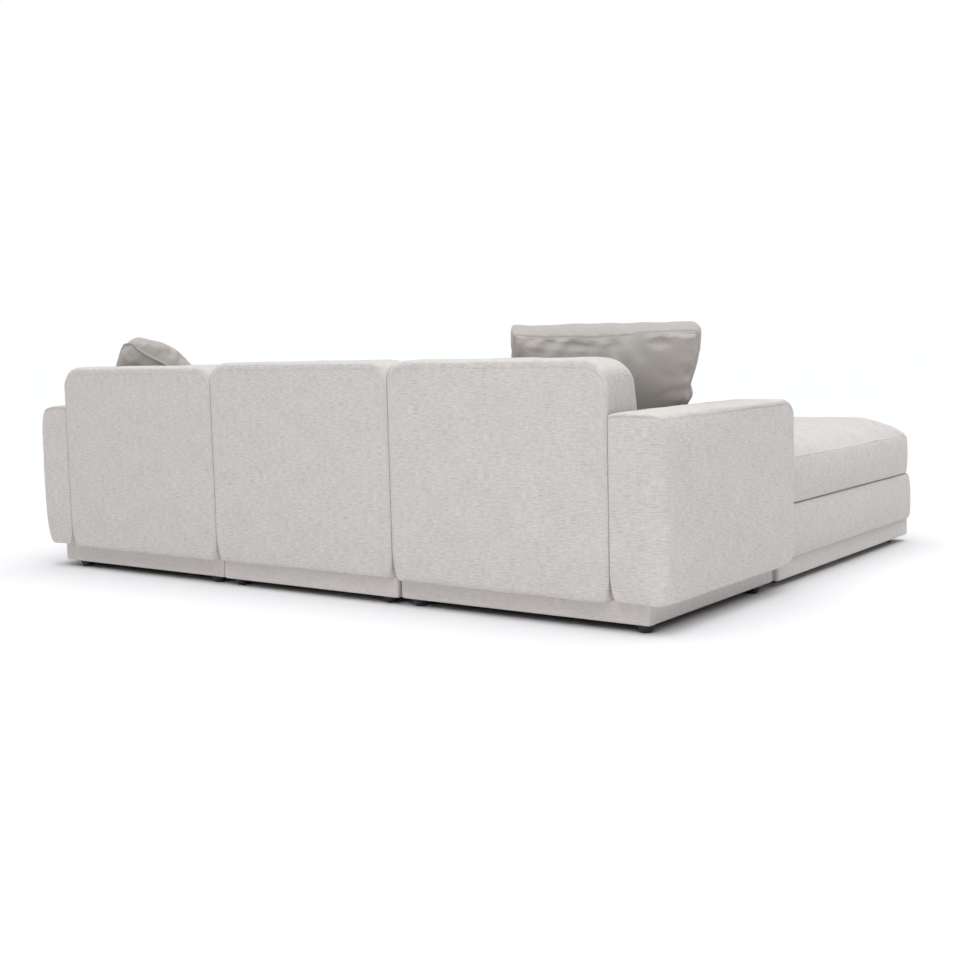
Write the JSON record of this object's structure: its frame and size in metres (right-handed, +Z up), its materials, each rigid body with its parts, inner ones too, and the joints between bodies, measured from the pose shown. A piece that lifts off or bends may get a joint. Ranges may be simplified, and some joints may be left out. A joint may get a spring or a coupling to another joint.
{
  "type": "modular sectional sofa",
  "caption": "Low modular sectional sofa: upholstered seat modules in a row with low arms and a long ottoman that forms a chaise, crowned boxed seats, loose cushions.",
  "frame": {"origin": "middle of the footprint on the floor, under the middle of the whole sofa's bounding box", "axes": "+Z up, -Y towards the front of the sofa, +X towards the right of a person who stands in front and looks at it"},
  "size_m": [2.8137, 2.094, 0.896],
  "materials": {
    "woven_fabric": "off-white textured weave",
    "smooth_fabric": "smooth greige cloth",
    "black_plastic": "satin black",
    "dust_cloth": "black non-woven cloth",
    "elastic_webbing": "dark woven elastic straps",
    "timber": "unfinished pine and plywood",
    "steel": "zinc plated"
  },
  "bodies": {
    "right_module": {"right_arm": "woven_fabric", "right_arm_board": "timber", "right_back": "woven_fabric", "right_back_board": "timber", "right_connector_jaw": "steel", "right_dust_cover": "dust_cloth", "right_front_left_foot": "black_plastic", "right_front_right_foot": "black_plastic", "right_plinth": "woven_fabric", "right_rear_left_foot": "black_plastic", "right_rear_right_foot": "black_plastic", "right_seat_base": "woven_fabric", "right_seat_frame": "timber", "right_webbing": "elastic_webbing"},
    "right_cushion_body": {"right_seat_cushion": "woven_fabric"},
    "middle_module": {"middle_back": "woven_fabric", "middle_back_board": "timber", "middle_dust_cover": "dust_cloth", "middle_front_left_foot": "black_plastic", "middle_front_right_foot": "black_plastic", "middle_left_connector_tongue": "steel", "middle_plinth": "woven_fabric", "middle_rear_left_foot": "black_plastic", "middle_rear_right_foot": "black_plastic", "middle_right_connector_tongue": "steel", "middle_seat_base": "woven_fabric", "middle_seat_frame": "timber", "middle_webbing": "elastic_webbing"},
    "middle_cushion_body": {"middle_seat_cushion": "woven_fabric"},
    "left_module": {"left_arm": "woven_fabric", "left_arm_board": "timber", "left_back": "woven_fabric", "left_back_board": "timber", "left_connector_jaw": "steel", "left_dust_cover": "dust_cloth", "left_front_connector_tongue": "steel", "left_front_left_foot": "black_plastic", "left_front_right_foot": "black_plastic", "left_plinth": "woven_fabric", "left_rear_left_foot": "black_plastic", "left_rear_right_foot": "black_plastic", "left_seat_base": "woven_fabric", "left_seat_frame": "timber", "left_webbing": "elastic_webbing"},
    "left_cushion_body": {"left_seat_cushion": "woven_fabric"},
    "ottoman_module": {"ottoman_connector_jaw": "steel", "ottoman_dust_cover": "dust_cloth", "ottoman_front_left_foot": "black_plastic", "ottoman_front_right_foot": "black_plastic", "ottoman_plinth": "woven_fabric", "ottoman_rear_left_foot": "black_plastic", "ottoman_rear_right_foot": "black_plastic", "ottoman_seat_base": "woven_fabric", "ottoman_seat_frame": "timber", "ottoman_webbing": "elastic_webbing"},
    "ottoman_cushion_body": {"ottoman_seat_cushion": "woven_fabric"},
    "back_cushion_body": {"back_cushion": "smooth_fabric"},
    "throw_pillow_body": {"throw_pillow": "smooth_fabric"}
  },
  "joints": [
    {"name": "left_module_slide", "type": "slide", "parent": "middle_module", "child": "left_module", "axis": [-1, 0, 0], "range_m": [0, 0.6]},
    {"name": "right_module_slide", "type": "slide", "parent": "middle_module", "child": "right_module", "axis": [1, 0, 0], "range_m": [0, 0.6]},
    {"name": "ottoman_module_slide", "type": "slide", "parent": "left_module", "child": "ottoman_module", "axis": [0, -1, 0], "range_m": [0, 0.6]},
    {"name": "left_cushion_lift", "type": "slide", "parent": "left_module", "child": "left_cushion_body", "axis": [0, 0, 1], "range_m": [0, 0.3]},
    {"name": "middle_cushion_lift", "type": "slide", "parent": "middle_module", "child": "middle_cushion_body", "axis": [0, 0, 1], "range_m": [0, 0.3]},
    {"name": "right_cushion_lift", "type": "slide", "parent": "right_module", "child": "right_cushion_body", "axis": [0, 0, 1], "range_m": [0, 0.3]},
    {"name": "ottoman_cushion_lift", "type": "slide", "parent": "ottoman_module", "child": "ottoman_cushion_body", "axis": [0, 0, 1], "range_m": [0, 0.3]},
    {"name": "back_cushion_lift", "type": "slide", "parent": "left_cushion_body", "child": "back_cushion_body", "axis": [0, 0, 1], "range_m": [0, 0.3]},
    {"name": "throw_pillow_lift", "type": "slide", "parent": "right_cushion_body", "child": "throw_pillow_body", "axis": [0, 0, 1], "range_m": [0, 0.3]}
  ]
}
